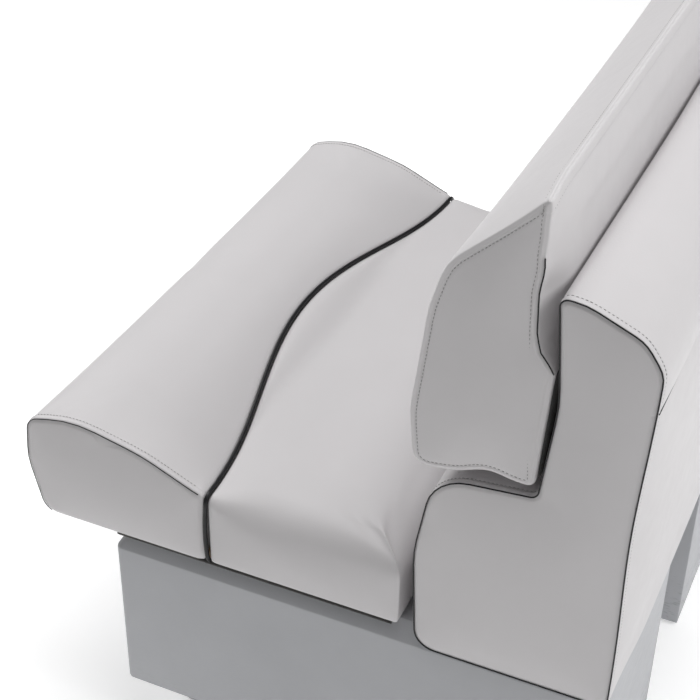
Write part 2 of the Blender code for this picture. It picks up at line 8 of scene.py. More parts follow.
import bmesh
import bpy
import numpy as np
from mathutils import Matrix, Vector
from mathutils.geometry import delaunay_2d_cdt
from mathutils.kdtree import KDTree


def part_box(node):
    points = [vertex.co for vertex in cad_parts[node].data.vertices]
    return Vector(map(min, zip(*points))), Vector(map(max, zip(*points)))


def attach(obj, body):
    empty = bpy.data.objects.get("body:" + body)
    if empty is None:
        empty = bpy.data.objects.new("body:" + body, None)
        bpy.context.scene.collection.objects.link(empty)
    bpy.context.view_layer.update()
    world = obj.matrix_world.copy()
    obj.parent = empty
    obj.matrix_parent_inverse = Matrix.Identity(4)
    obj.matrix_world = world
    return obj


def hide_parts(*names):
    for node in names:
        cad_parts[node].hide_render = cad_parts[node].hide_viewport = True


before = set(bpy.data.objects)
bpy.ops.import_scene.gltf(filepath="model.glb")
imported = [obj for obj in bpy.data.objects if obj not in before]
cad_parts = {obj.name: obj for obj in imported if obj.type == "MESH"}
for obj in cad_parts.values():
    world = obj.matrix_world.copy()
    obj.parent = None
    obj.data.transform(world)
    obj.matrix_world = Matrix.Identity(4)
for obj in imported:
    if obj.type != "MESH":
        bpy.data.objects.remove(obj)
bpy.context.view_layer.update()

# ------------ sizes, from the frame
MM = 0.001
SEAM_GAP = 6.4                                    # between the two seat cushions
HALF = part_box("seat_cover_main")[1].x / MM        # middle plane to a cushion's end
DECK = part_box("base_shell")[1].z
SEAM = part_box("seat_front_end_right")[1].y + SEAM_GAP / 2 * MM
BASE_LOW, BASE_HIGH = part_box("base_shell")
BASE_HALF = BASE_HIGH.x / MM
BASE_FRONT = (BASE_LOW.y - SEAM) / MM
BASE_REAR = (BASE_HIGH.y - SEAM) / MM
FOOT = (BASE_LOW.z - DECK) / MM
FLAP_BOTTOM = (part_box("back_cover_rear")[0].z - DECK) / MM
REAR_SEAM_Z = (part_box("back_cover_rear")[1].z - DECK) / MM
RIDGE_Z = (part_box("pillow_end_cap_right")[1].z - DECK) / MM

SEAM_BOW = 54.0              # the cross seam bows forward by this at mid width
WELT_RADIUS = 2.4
SEAM_OPEN = 2.3              # each cushion's edge closes to this from the welt's middle
SHOULDER = 28.0              # roll at the main cushion's ends and rear
SEAT_REAR = 221.0
UNDERSIDE = 3.0
RECESS = 4.8                 # the underside rises to this above the dust cover
BACK_FOOT = 2.0              # the backrest stands this far above the deck
BACK_LOW = -17.0             # its ends and rear panel hang to this, below the deck

# Corners of each outline as (y, z, corner radius), clockwise
SEAT_CORNERS = [(-206, 3, 21), (-222.4, 75, 90), (-217, 129, 20), (-160, 145, 120), (-75, 126, 160),
                (0, 93, 70), (150, 100, 400), (250, 88.7, 4), (250, 3, 4)]
BACK_CORNERS = [(239, BACK_LOW, 24), (233, 110, 160), (250, 212, 48), (352, 222, 8),
                (363, 330, 200), (352.8, 442.5, 9), (378, 441.5, 60), (432, 418.5, 36),
                (452, 390, 36), (446, BACK_LOW, 8)]
PILLOW_CORNERS = [(228, 219, 18), (222, 282, 120), (236, 400, 150), (250, 449, 60), (339, 543, 4),
                  (350.5, 440, 60), (356.5, 362, 12), (349, 232, 10)]

HEM_STITCH = 9.2             # the topstitched row lies this far inside an end seam
SIDES = ((-1, "left"), (1, "right"))

# Rows of a panel near its end seam, as (distance from the end, depth below the surface)
STITCHED_HEM = [(1.6, 2.0), (2.1, 1.0), (3.0, 0.35), (4.6, 0.0), (6.2, -0.3), (7.9, 0.0),
                (HEM_STITCH, 1.0), (10.5, 0.1), (13.0, 0.0), (18.0, 0.0), (26.0, 0.0)]
PLAIN_HEM = [(1.6, 1.9), (2.2, 0.9), (3.4, 0.3), (5.5, 0.0), (9.0, 0.0), (14.0, 0.0),
             (20.0, 0.0), (28.0, 0.0)]
HELD_DEPTH = 0.7             # rows sewn down at least this deep stay still in the simulation


def P(x, y, z):
    return Vector((x * MM, SEAM + y * MM, DECK + z * MM))


def side_view(point):
    """(y, z) of a point in the side view, in millimetres."""
    return (point.y - SEAM) / MM, (point.z - DECK) / MM


def smooth(value, low=0.0, high=1.0):
    t = min(1.0, max(0.0, (value - low) / (high - low)))
    return t * t * (3 - 2 * t)


def bump(value, centre, width):
    return math.exp(-((value - centre) / width) ** 2)


# ------------ outlines

def rounded(corners, step=12.0):
    """Closed outline from (y, z, radius) corners; a point about every step degrees of arc."""
    outline = []
    count = len(corners)
    for index, (y, z, radius) in enumerate(corners):
        corner = Vector((y, z))
        before = (Vector(corners[index - 1][:2]) - corner).normalized()
        after = (Vector(corners[(index + 1) % count][:2]) - corner).normalized()
        inner = before.angle(after)
        turn = math.pi - inner
        reach = radius * math.tan(turn / 2)
        start, end = corner + before * reach, corner + after * reach
        parts = max(2, round(math.degrees(turn) / step))
        centre = corner + (before + after).normalized() * (radius / math.sin(inner / 2))
        first = start - centre
        side = 1.0 if first.x * (end - centre).y - first.y * (end - centre).x > 0 else -1.0
        for part in range(parts + 1):
            angle = side * turn * part / parts
            cosine, sine = math.cos(angle), math.sin(angle)
            outline.append(centre + Vector((first.x * cosine - first.y * sine,
                                            first.x * sine + first.y * cosine)))
    return outline


def nearest(path, spot):
    return min(range(len(path)), key=lambda i: (path[i] - Vector(spot)).length)


def stretch(outline, first, last):
    """The run of outline points from the one nearest first to the one nearest last."""
    start, stop = nearest(outline, first), nearest(outline, last)
    if stop < start:
        return outline[start:] + outline[:stop + 1]
    return outline[start:stop + 1]


def densify(path, spacing):
    """The path with points added, so that none of its steps is longer than spacing."""
    made = [path[0]]
    for a, b in zip(path, path[1:]):
        parts = max(1, math.ceil((b - a).length / spacing))
        made += [a.lerp(b, part / parts) for part in range(1, parts + 1)]
    return made


def refined(outline, seams, spacing):
    """Points of a closed outline and their depths: each seam is a (spot, depth, width) valley."""
    ring = densify(outline + outline[:1], spacing)
    along = [0.0]
    for a, b in zip(ring, ring[1:]):
        along.append(along[-1] + (b - a).length)
    marks = [(along[nearest(ring, spot)], depth, width) for spot, depth, width in seams]
    extra = [mark + width * step for mark, depth, width in marks for step in (-2.4, -1, 0, 1, 2.4)]
    kept = [s for s in along[:-1] if all(abs(s - e) > 1.0 for e in extra)]
    points, depths = [], []
    for s in sorted(kept + extra):
        index = max(i for i in range(len(along) - 1) if along[i] <= s)
        share = (s - along[index]) / (along[index + 1] - along[index])
        points.append(ring[index].lerp(ring[index + 1], share))
        depths.append(sum(depth * bump(s, mark, width) for mark, depth, width in marks))
    return points, depths


def outward(path, closed=True):
    """Unit normals on the left of a clockwise path, which point out of it."""
    normals = []
    count = len(path)
    for index in range(count):
        back = path[index - 1] if closed or index else path[index]
        ahead = path[(index + 1) % count] if closed or index < count - 1 else path[index]
        along = (ahead - back).normalized()
        normals.append(Vector((-along.y, along.x)))
    return normals


def sunk(path, depths, closed=True):
    """The path moved inward, each point by its own depth."""
    return [p - n * d for p, n, d in zip(path, outward(path, closed), depths)]


def height_at(run, y):
    for a, b in zip(run, run[1:]):
        if a.x <= y <= b.x:
            return a.y + (b.y - a.y) * (y - a.x) / (b.x - a.x)
    return run[-1].y


def seam_y(x):
    """The cross seam bows forward at mid width, like one turn of a cosine."""
    return -SEAM_BOW / 2 * (1 + math.cos(math.pi * x / HALF))


# ------------ building meshes

def as_piece(mesh, name, smooth_shaded=True):
    """Puts a finished mesh into the scene as an object."""
    data = bpy.data.meshes.new(name)
    mesh.to_mesh(data)
    mesh.free()
    if smooth_shaded:
        data.shade_smooth()
    piece = bpy.data.objects.new(name, data)
    bpy.context.scene.collection.objects.link(piece)
    return piece


def ring_round(mesh, centre, across, up, radius, sides):
    """A ring of new points round a centre, in the plane of across and up."""
    angles = [2 * math.pi * s / sides for s in range(sides)]
    return [mesh.verts.new(centre + (across * math.cos(a) + up * math.sin(a)) * radius) for a in angles]


def skin(mesh, rings, capped=True):
    """Quads between matching rings of points, and a face over each end."""
    sides = len(rings[0])
    for lower, upper in zip(rings, rings[1:]):
        for s in range(sides):
            after = (s + 1) % sides
            mesh.faces.new((lower[s], lower[after], upper[after], upper[s]))
    if capped:
        mesh.faces.new(rings[0][::-1])
        mesh.faces.new(rings[-1])


class Patches:
    """Grids and filled loops that share their edge points, welded into one closed mesh."""

    def __init__(self):
        self.mesh = bmesh.new()
        self.held = []

    def grid(self, rows, hold=None):
        """Quads between rows of points; hold(row, column) says which points stay still."""
        made = [[self.mesh.verts.new(point) for point in row] for row in rows]
        for upper, lower in zip(made, made[1:]):
            for a, b, c, d in zip(upper, upper[1:], lower[1:], lower):
                self.mesh.faces.new((a, b, c, d))
        if hold:
            self.held += [point for r, row in enumerate(rows)
                          for c, point in enumerate(row) if hold(r, c)]

    def fill(self, loop, flat, lift, spacing, rings=(), held_width=0.0):
        """Fills a loop of 3-D points. flat() gives a point's place in the plane, in millimetres,
        and lift(a, b, distance from the loop) gives the 3-D point back."""
        edge = [Vector(flat(point)) for point in loop]
        corners = np.array(edge)
        following = np.roll(corners, -1, axis=0)
        spans = following - corners
        lengths = np.maximum((spans ** 2).sum(1), 1e-9)

        def reach(spots):
            offsets = spots[:, None, :] - corners[None]
            share = np.clip((offsets * spans[None]).sum(2) / lengths, 0, 1)
            return np.sqrt(((offsets - share[..., None] * spans[None]) ** 2).sum(2)).min(1)

        def inside(spots):
            y0, y1 = corners[:, 1][None], following[:, 1][None]
            crosses = (y0 > spots[:, 1:]) != (y1 > spots[:, 1:])
            rise = np.where(y1 == y0, 1e-9, y1 - y0)
            at = corners[:, 0][None] + (spots[:, 1:] - y0) / rise * spans[:, 0][None]
            return (crosses & (spots[:, :1] < at)).sum(1) % 2 == 1

        normals = np.array(outward(edge))
        found = []
        for ring in rings:
            for way in (-1, 1):
                spots = corners + way * ring * normals
                found.append(spots[inside(spots) & (reach(spots) > 0.93 * ring)])
        low, high = corners.min(0), corners.max(0)
        lines = []
        for row, b in enumerate(np.arange(low[1], high[1], spacing * 0.87)):
            lines += [(a + (row % 2) * spacing / 2, b) for a in np.arange(low[0], high[0], spacing)]
        lines = np.array(lines)
        clear = (max(rings) if rings else 0.0) + 0.55 * spacing
        found.append(lines[inside(lines) & (reach(lines) > clear)])
        spots = np.concatenate(found)
        far = reach(spots)
        points = edge + [Vector(spot) for spot in spots]
        flat_points, _, faces, origins, _, _ = delaunay_2d_cdt(points, [], [list(range(len(edge)))], 1, 1e-6)
        made = []
        for point, origin in zip(flat_points, origins):
            source = origin[0] if origin else None
            if source is not None and source < len(edge):
                place, distance = loop[source], 0.0
            else:
                distance = far[source - len(edge)] if source is not None else 0.0
                place = lift(point.x, point.y, distance)
            if distance <= held_width:
                self.held.append(place)
            made.append(self.mesh.verts.new(place))
        for face in faces:
            self.mesh.faces.new([made[index] for index in face])

    def finish(self, name):
        """Welds the patches; returns the object and the numbers of its held points."""
        weld = 0.02 * MM
        bmesh.ops.remove_doubles(self.mesh, verts=self.mesh.verts, dist=weld)
        bmesh.ops.recalc_face_normals(self.mesh, faces=self.mesh.faces)
        piece = as_piece(self.mesh, name)
        tree = KDTree(len(self.held) or 1)
        for index, point in enumerate(self.held):
            tree.insert(point, index)
        tree.balance()
        held = [v.index for v in piece.data.vertices if self.held and tree.find(v.co)[2] < 2 * weld]
        return piece, held


def swell(piece, held, pressure, cap, limit=None):
    """Lets a cover swell over its foam in a short cloth simulation, its seams held still.
    cap is the most that a point moves, and limit(place, shift) may hold it back further."""
    group = piece.vertex_groups.new(name="sewn")
    group.add(held, 1.0, "REPLACE")
    cloth = piece.modifiers.new("swell", "CLOTH")
    settings = cloth.settings
    settings.quality = 4
    settings.mass = 0.3
    settings.tension_stiffness = settings.compression_stiffness = 25
    settings.shear_stiffness = 10
    settings.bending_stiffness = 2
    settings.use_pressure = True
    settings.uniform_pressure_force = pressure
    settings.vertex_group_mass = "sewn"
    settings.effector_weights.gravity = 0
    scene = bpy.context.scene
    for step in range(1, 21):
        scene.frame_set(step)
    shaped = piece.evaluated_get(bpy.context.evaluated_depsgraph_get()).data
    places = [vertex.co.copy() for vertex in shaped.vertices]
    piece.modifiers.remove(cloth)
    scene.frame_set(1)
    still = set(held)
    for vertex, place in zip(piece.data.vertices, places):
        shift = place - vertex.co
        if vertex.index in still or shift.length < 1e-7:
            continue
        shift *= cap * MM * math.tanh(shift.length / (cap * MM)) / shift.length
        if limit:
            shift = limit(vertex.co, shift)
        vertex.co += shift


def refine(piece, levels=1):
    modifier = piece.modifiers.new("fine", "SUBSURF")
    modifier.levels = modifier.render_levels = levels


def settle(piece, body, slot, finish, *nodes, fill=None):
    """Gives a piece its body and finish, and hides the CAD nodes that it stands for. The slot is not used."""
    if not piece.data.materials:
        piece.data.materials.append(finish)
    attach(piece, body)
    if nodes:
        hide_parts(*nodes)
    return piece


def hem_rows(hem, spacing):
    """(x, depth) of each row of a panel across the bench, from one end seam to the other."""
    right = [(HALF - distance, depth) for distance, depth in hem]
    reach = right[-1][0]
    count = round(2 * reach / spacing)
    middle = [(-reach + 2 * reach * part / count, 0.0) for part in range(1, count)]
    return [(-x, depth) for x, depth in right] + middle + right[::-1]


def sewn_cushion(name, section, depths, hem, spacing, hold, crown=3.5, cap_stitch=0.0, cap_spacing=9.0):
    """A closed cushion: one panel wrapped across the bench, and a set-in panel at each end.
    section(x) is the closed side view at x, and hold(x, y, z) says what can't swell.
    crown is how far the end panels belly out."""
    patches = Patches()
    rows, flats = [], []
    for x, depth in hem_rows(hem, spacing):
        path = sunk(section(x), [min(3.2, depth + d) for d in depths])
        flats.append((x, depth, path + path[:1]))
        rows.append([P(x, spot.x, spot.y) for spot in path + path[:1]])

    def held(row, column):
        x, depth, path = flats[row]
        sewn = depth >= HELD_DEPTH or depths[column % len(depths)] >= HELD_DEPTH
        return sewn or hold(x, path[column].x, path[column].y)

    patches.grid(rows, held)
    for row in (0, -1):
        side = 1 if row else -1
        start = abs(flats[row][0])

        def lift(y, z, distance):
            out = start + (HALF - start) * smooth(distance, 0, 4.0) + crown * smooth(distance, 0, 60)
            if cap_stitch:
                out -= 0.8 * bump(distance, cap_stitch, 1.1)
            return P(side * out, y, z)

        rings = (0.9, 2.2, 3.6) + ((cap_stitch, cap_stitch + 1.4) if cap_stitch else (6.0,))
        patches.fill(rows[row][:-1], side_view, lift, cap_spacing, rings,
                     held_width=cap_stitch + 0.3 if cap_stitch else 1.0)
    return patches.finish(name)


def tube(name, points, radius, closed=False, sides=10):
    """A round cord as a mesh, with flat ends unless it is closed into a loop."""
    made = bmesh.new()
    count = len(points)
    rings, side_way = [], None
    for index, point in enumerate(points):
        back = points[index - 1] if closed or index else point
        ahead = points[(index + 1) % count] if closed or index < count - 1 else point
        along = (ahead - back).normalized()
        if side_way is None:
            side_way = along.orthogonal().normalized()
        side_way = (side_way - along * side_way.dot(along)).normalized()
        rings.append(ring_round(made, point, side_way, along.cross(side_way), radius * MM, sides))
    skin(made, rings, capped=not closed)
    if closed:
        first, last = rings[0], rings[-1]
        turn = min(range(sides), key=lambda k: sum((last[s].co - first[(s + k) % sides].co).length
                                                   for s in range(sides)))
        for s in range(sides):
            made.faces.new((last[s], last[(s + 1) % sides],
                            first[(s + 1 + turn) % sides], first[(s + turn) % sides]))
    bmesh.ops.recalc_face_normals(made, faces=made.faces)
    return as_piece(made, name)


def stitches(name, runs, pitch=4.2, length=2.9, radius=0.42):
    """Rows of thread: every stitch is a small bar, bedded in the vinyl at both of its ends.
    A run is a list of (place, outward normal) pairs."""
    made = bmesh.new()
    sides = 6
    # Each ring as (place along the stitch, share of its radius, rise above the surface)
    shape = [(-1.0, 0.3, -0.35), (-0.72, 0.85, 0.0), (0.0, 1.0, 0.22), (0.72, 0.85, 0.0),
             (1.0, 0.3, -0.35)]
    for run in runs:
        along = [0.0]
        for (a, _), (b, _) in zip(run, run[1:]):
            along.append(along[-1] + (b - a).length / MM)
        count = int(along[-1] / pitch)
        index = 0
        for number in range(count):
            s = (number + 0.5) * along[-1] / count
            while along[index + 1] < s:
                index += 1
            share = (s - along[index]) / (along[index + 1] - along[index])
            (a, normal_a), (b, normal_b) = run[index], run[index + 1]
            centre = a.lerp(b, share)
            way = (b - a).normalized()
            normal = normal_a.lerp(normal_b, share)
            normal = (normal - way * normal.dot(way)).normalized()
            across = way.cross(normal)
            rings = []
            for step, size, rise in shape:
                middle = centre + (way * (step * length / 2) + normal * rise) * MM
                rings.append(ring_round(made, middle, across, normal, size * radius * MM, sides))
            skin(made, rings)
    bmesh.ops.recalc_face_normals(made, faces=made.faces)
    return as_piece(made, name)


def hem_run(section, side, wanted, sink=0.55):
    """The stitched row beside an end seam, as (place, normal) pairs, where wanted(y, z) holds."""
    x = HALF - HEM_STITCH
    path = section(side * x)
    normals = outward(path)
    runs, run = [], []
    for spot, normal in zip(path, normals):
        if wanted(spot.x, spot.y):
            place = spot - normal * sink
            run.append((P(side * x, place.x, place.y), Vector((0, normal.x, normal.y))))
        elif run:
            runs.append(run)
            run = []
    return [r for r in runs + [run] if len(r) > 1]


# ------------ finishes

def preset(node, values):
    """Sets a node's inputs by name."""
    for name, value in values.items():
        node.inputs[name].default_value = value


def node_material(name):
    made = bpy.data.materials.new(name)
    made.use_nodes = True
    tree = made.node_tree
    shader = tree.nodes["Principled BSDF"]
    place = tree.nodes.new("ShaderNodeTexCoord").outputs["Object"]
    return made, tree, shader, place


def texture(tree, place, kind, scale, stretch_by=None, detail=3.0):
    """The height or value output of a noise or voronoi texture at a scale of features per metre."""
    if stretch_by:
        mapping = tree.nodes.new("ShaderNodeMapping")
        mapping.inputs["Scale"].default_value = stretch_by
        tree.links.new(place, mapping.inputs["Vector"])
        place = mapping.outputs["Vector"]
    if kind == "cells":
        made = tree.nodes.new("ShaderNodeTexVoronoi")
        made.feature = "SMOOTH_F1"
        preset(made, {"Smoothness": 0.6, "Scale": scale})
        tree.links.new(place, made.inputs["Vector"])
        return made.outputs["Distance"]
    made = tree.nodes.new("ShaderNodeTexNoise")
    preset(made, {"Scale": scale, "Detail": detail})
    tree.links.new(place, made.inputs["Vector"])
    return made.outputs["Fac"]


def blended(tree, value, low, high, start=0.3, end=0.7):
    """A colour ramp from low to high over a texture's value."""
    ramp = tree.nodes.new("ShaderNodeValToRGB")
    first, last = ramp.color_ramp.elements
    first.position, last.position = start, end
    first.color, last.color = (*low, 1.0), (*high, 1.0)
    tree.links.new(value, ramp.inputs["Fac"])
    return ramp.outputs["Color"]


def ranged(tree, value, low, high):
    made = tree.nodes.new("ShaderNodeMapRange")
    preset(made, {"From Min": 0.3, "From Max": 0.7, "To Min": low, "To Max": high})
    tree.links.new(value, made.inputs["Value"])
    return made.outputs["Result"]


def relief(tree, shader, layers):
    """Chains bumps, each a (height, strength, distance in millimetres), onto the shader."""
    normal = None
    for height, strength, distance in layers:
        made = tree.nodes.new("ShaderNodeBump")
        preset(made, {"Strength": strength, "Distance": distance * MM})
        tree.links.new(height, made.inputs["Height"])
        if normal:
            tree.links.new(normal, made.inputs["Normal"])
        normal = made.outputs["Normal"]
    tree.links.new(normal, shader.inputs["Normal"])


def vinyl(name, tone, grain=0.5):
    """Marine vinyl: a fine pebbled grain, satin, with the faintest clouding."""
    made, tree, shader, place = node_material(name)
    cloud = texture(tree, place, "noise", 9.0)
    low = tuple(c * 0.975 for c in tone)
    tree.links.new(blended(tree, cloud, low, tone), shader.inputs["Base Color"])
    tree.links.new(ranged(tree, texture(tree, place, "noise", 60.0), 0.40, 0.50), shader.inputs["Roughness"])
    relief(tree, shader, [(texture(tree, place, "noise", 22.0, detail=1.0), 0.25, 1.2),
                          (texture(tree, place, "cells", 650.0), grain, 0.10),
                          (texture(tree, place, "noise", 1500.0), 0.3, 0.05)])
    shader.inputs["Specular IOR Level"].default_value = 0.42
    return made


def moulded_plastic():
    """Rotomoulded polyethylene: a fine orange peel, with scuffs low on the legs."""
    made, tree, shader, place = node_material("moulded_polyethylene")
    cloud = texture(tree, place, "noise", 7.0)
    base = blended(tree, cloud, (0.435, 0.442, 0.462), (0.47, 0.477, 0.497))
    split = tree.nodes.new("ShaderNodeSeparateXYZ")
    tree.links.new(place, split.inputs["Vector"])
    low = tree.nodes.new("ShaderNodeMapRange")
    preset(low, {"From Min": 0.09, "From Max": 0.0})
    tree.links.new(split.outputs["Z"], low.inputs["Value"])
    scuff = tree.nodes.new("ShaderNodeMath")
    scuff.operation = "MULTIPLY"
    marks = texture(tree, place, "noise", 90.0, (1.0, 1.0, 5.0), 6.0)
    tree.links.new(blended(tree, marks, (0, 0, 0), (1, 1, 1), 0.58, 0.66), scuff.inputs[0])
    tree.links.new(low.outputs["Result"], scuff.inputs[1])
    mix = tree.nodes.new("ShaderNodeMix")
    mix.data_type = "RGBA"
    mix.inputs["B"].default_value = (0.25, 0.26, 0.27, 1.0)
    tree.links.new(scuff.outputs["Value"], mix.inputs["Factor"])
    tree.links.new(base, mix.inputs["A"])
    tree.links.new(mix.outputs["Result"], shader.inputs["Base Color"])
    tree.links.new(ranged(tree, marks, 0.42, 0.58), shader.inputs["Roughness"])
    relief(tree, shader, [(texture(tree, place, "noise", 16.0, detail=1.0), 0.2, 1.5),
                          (texture(tree, place, "cells", 420.0), 0.35, 0.12)])
    return made


def black_vinyl():
    made, tree, shader, place = node_material("black_piping_vinyl")
    gloss = texture(tree, place, "noise", 180.0)
    tone = blended(tree, gloss, (0.006, 0.006, 0.007), (0.016, 0.016, 0.018))
    tree.links.new(tone, shader.inputs["Base Color"])
    tree.links.new(ranged(tree, texture(tree, place, "noise", 240.0), 0.28, 0.42), shader.inputs["Roughness"])
    relief(tree, shader, [(texture(tree, place, "cells", 900.0), 0.4, 0.08)])
    shader.inputs["Specular IOR Level"].default_value = 0.3
    return made


def thread():
    """Twisted polyester: fine slanted plies, its grey kept dark as painted shade of the stitch holes and
    valleys.
    """
    made, tree, shader, place = node_material("grey_thread_and_hole_shade")
    wave = tree.nodes.new("ShaderNodeTexWave")
    preset(wave, {"Scale": 900.0, "Distortion": 2.0})
    wave.bands_direction = "DIAGONAL"
    tree.links.new(place, wave.inputs["Vector"])
    # Painted shade: the thread is kept darker than its own light grey, so the stitches read as the shaded
    # dashes of their holes.
    tree.links.new(blended(tree, wave.outputs["Fac"], (0.22, 0.21, 0.21), (0.46, 0.45, 0.45), 0.2, 0.8),
                   shader.inputs["Base Color"])
    shader.inputs["Roughness"].default_value = 0.6
    relief(tree, shader, [(wave.outputs["Fac"], 0.5, 0.08)])
    return made


def black_cloth(name, fuzz):
    """Non-woven or fleecy black cloth: crossing fibres."""
    made, tree, shader, place = node_material(name)
    fibres = texture(tree, place, "noise", 700.0, (1.0, 0.25, 1.6), 5.0)
    tree.links.new(blended(tree, fibres, (0.008, 0.008, 0.008), (0.05, 0.046, 0.042)),
                   shader.inputs["Base Color"])
    preset(shader, {"Roughness": 0.95, "Sheen Weight": 0.25, "Sheen Roughness": 0.6})
    relief(tree, shader, [(fibres, 0.7, fuzz), (texture(tree, place, "cells", 260.0), 0.5, fuzz)])
    return made


def brushed_steel():
    made, tree, shader, place = node_material("brushed_stainless")
    lines = texture(tree, place, "noise", 260.0, (0.06, 1.0, 1.0), 6.0)
    tree.links.new(blended(tree, lines, (0.55, 0.55, 0.56), (0.70, 0.70, 0.71)), shader.inputs["Base Color"])
    tree.links.new(ranged(tree, lines, 0.22, 0.42), shader.inputs["Roughness"])
    shader.inputs["Metallic"].default_value = 1.0
    relief(tree, shader, [(lines, 0.25, 0.05)])
    return made


def plywood():
    """Sealed plywood: long stretched grain with darker streaks and thin plies."""
    made, tree, shader, place = node_material("marine_plywood_sealed")
    grain = texture(tree, place, "noise", 40.0, (0.12, 1.0, 1.0), 8.0)
    tree.links.new(blended(tree, grain, (0.30, 0.19, 0.10), (0.56, 0.40, 0.24)), shader.inputs["Base Color"])
    tree.links.new(ranged(tree, grain, 0.5, 0.7), shader.inputs["Roughness"])
    relief(tree, shader, [(texture(tree, place, "noise", 420.0, (0.08, 1.0, 1.0), 6.0), 0.4, 0.15)])
    return made


def rubber():
    made, tree, shader, place = node_material("matt_rubber")
    tone = blended(tree, texture(tree, place, "noise", 120.0), (0.012, 0.012, 0.012), (0.028, 0.028, 0.028))
    tree.links.new(tone, shader.inputs["Base Color"])
    tree.links.new(ranged(tree, texture(tree, place, "noise", 60.0), 0.7, 0.9), shader.inputs["Roughness"])
    relief(tree, shader, [(texture(tree, place, "cells", 500.0), 0.5, 0.15)])
    return made


GREY_VINYL = vinyl("light_grey_marine_vinyl", (0.635, 0.618, 0.626))
BLACK_VINYL = black_vinyl()
THREAD_AND_HOLE_SHADE = thread()
PLASTIC = moulded_plastic()
# Black fleece: the pillow's backing, its black also painted shade in the gap behind the pillow's ends.
FLEECE_AND_SHADE = black_cloth("black_fleece", 0.6)
FINISHES = {
    "moulded_plastic": PLASTIC,
    "marine_vinyl": GREY_VINYL,
    "vinyl_end_panels": GREY_VINYL,
    "black_piping": BLACK_VINYL,
    "open_cell_foam": GREY_VINYL,
    "marine_plywood": plywood(),
    "black_cambric": black_cloth("black_cambric_cloth", 0.15),
    "stainless_steel": brushed_steel(),
    "black_rubber": rubber(),
}


def cord(name, points, radius, body, *nodes, **shape):
    """A black vinyl cord: real piping, or a thin dark cord in a seam's groove that paints the seam's shade
    line.
    """
    settle(tube(name, points, radius, **shape), body, "black_piping", BLACK_VINYL, *nodes)


# ------------ the moulded base

def plan_ring(half, front, rear, radius, z, parts=8):
    points = []
    for x, y, start in ((half, front, -90), (half, rear, 0), (-half, rear, 90), (-half, front, 180)):
        centre_x = x - math.copysign(radius, x)
        centre_y = y + (radius if y == front else -radius)
        for part in range(parts + 1):
            angle = math.radians(start + 90 * part / parts)
            points.append(P(centre_x + radius * math.cos(angle), centre_y + radius * math.sin(angle), z))
    return points


def solid(name, sections):
    """Skins matching closed loops and caps both ends."""
    made = bmesh.new()
    skin(made, [[made.verts.new(point) for point in section] for section in sections])
    bmesh.ops.recalc_face_normals(made, faces=made.faces)
    return as_piece(made, name, smooth_shaded=False)


def box_cutter(low, high):
    ring = [(low[0], low[1]), (high[0], low[1]), (high[0], high[1]), (low[0], high[1])]
    return solid("cutter", [[P(x, y, z) for x, y in ring] for z in (low[2], high[2])])


def moulded_base():
    """The base in one moulding, with every edge rolled over as it leaves the mould."""
    wall, corner, chamfer_in, chamfer_down = 5.0, 9.0, 13.0, 22.0
    skirt_bottom = -226.0
    leg_width, leg_depth, gap_top = 281.0, 150.0, -64.0
    leg_front, leg_inner = BASE_REAR - leg_depth, BASE_HALF - leg_width
    bay_rear = leg_front - wall
    clear = 20.0
    low = FOOT - clear
    levels = [(FOOT, 0.0), (-chamfer_down, 0.0), (0.0, chamfer_in)]
    shell = solid("moulded_base", [plan_ring(BASE_HALF - inward, BASE_FRONT + inward,
                                             BASE_REAR - inward, corner, z) for z, inward in levels])
    inner = BASE_HALF - wall
    bay = [(low, 0.0), (-chamfer_down - 2, 0.0), (-wall - 1, chamfer_in)]
    cutters = [
        box_cutter((-BASE_HALF - clear, BASE_FRONT - clear, low),
                   (BASE_HALF + clear, leg_front, skirt_bottom)),
        solid("cutter", [plan_ring(inner - inward, BASE_FRONT + wall + inward, bay_rear,
                                   corner - wall, z) for z, inward in bay]),
        box_cutter((-leg_inner, leg_front, low), (leg_inner, BASE_REAR + clear, gap_top)),
        box_cutter((-300, -76, -60), (300, 168, clear)),
    ]
    for cutter in cutters:
        boolean = shell.modifiers.new("cut", "BOOLEAN")
        boolean.operation = "DIFFERENCE"
        boolean.solver = "EXACT"
        boolean.object = cutter
    bevel = shell.modifiers.new("rolled_edges", "BEVEL")
    bevel.width = 3.0 * MM
    bevel.segments = 3
    bevel.limit_method = "ANGLE"
    bevel.angle_limit = math.radians(27)
    bevel.use_clamp_overlap = True
    result = bpy.data.meshes.new_from_object(shell.evaluated_get(bpy.context.evaluated_depsgraph_get()))
    shell.modifiers.clear()
    shell.data = result
    for cutter in cutters:
        bpy.data.objects.remove(cutter)
    result.shade_smooth()
    result.set_sharp_from_angle(angle=math.radians(34))
    settle(shell, "bench", "moulded_plastic", PLASTIC, "base_shell")


# ------------ the seat

SEAT_OUTLINE = rounded(SEAT_CORNERS, 9)
SEAT_TOP = densify(stretch(SEAT_OUTLINE, (-190, 152), (248, 89)), 6)


def front_section(x):
    """Side view of the front bolster: round its nose, over its top and down at the cross seam."""
    edge = seam_y(x) - SEAM_OPEN
    nose_end = -100.0
    nose = [p for p in densify(stretch(SEAT_OUTLINE, (-186, 3), (-110, 145)), 9)
            if p.x < nose_end - 4 or p.y < 60]
    path = [Vector((-176, UNDERSIDE))] + nose
    steps, roll = 10, [(9.0, 0.0), (5.5, 0.1), (3.0, 0.5), (1.2, 1.3), (0.0, 2.6)]
    last = edge - 12
    for step in range(steps + 1):
        y = nose_end + (last - nose_end) * step / steps
        path.append(Vector((y, height_at(SEAT_TOP, y))))
    for back, drop in roll:
        path.append(Vector((edge - back, height_at(SEAT_TOP, edge - back) - drop)))
    top = path[-1].y
    floor = RECESS if abs(x) < 346 else UNDERSIDE
    path += [Vector((edge, top + (floor - top) * step / 6)) for step in range(1, 7)]
    path += [Vector((edge + (-170 - edge) * step / 8, floor)) for step in range(1, 9)]
    return path


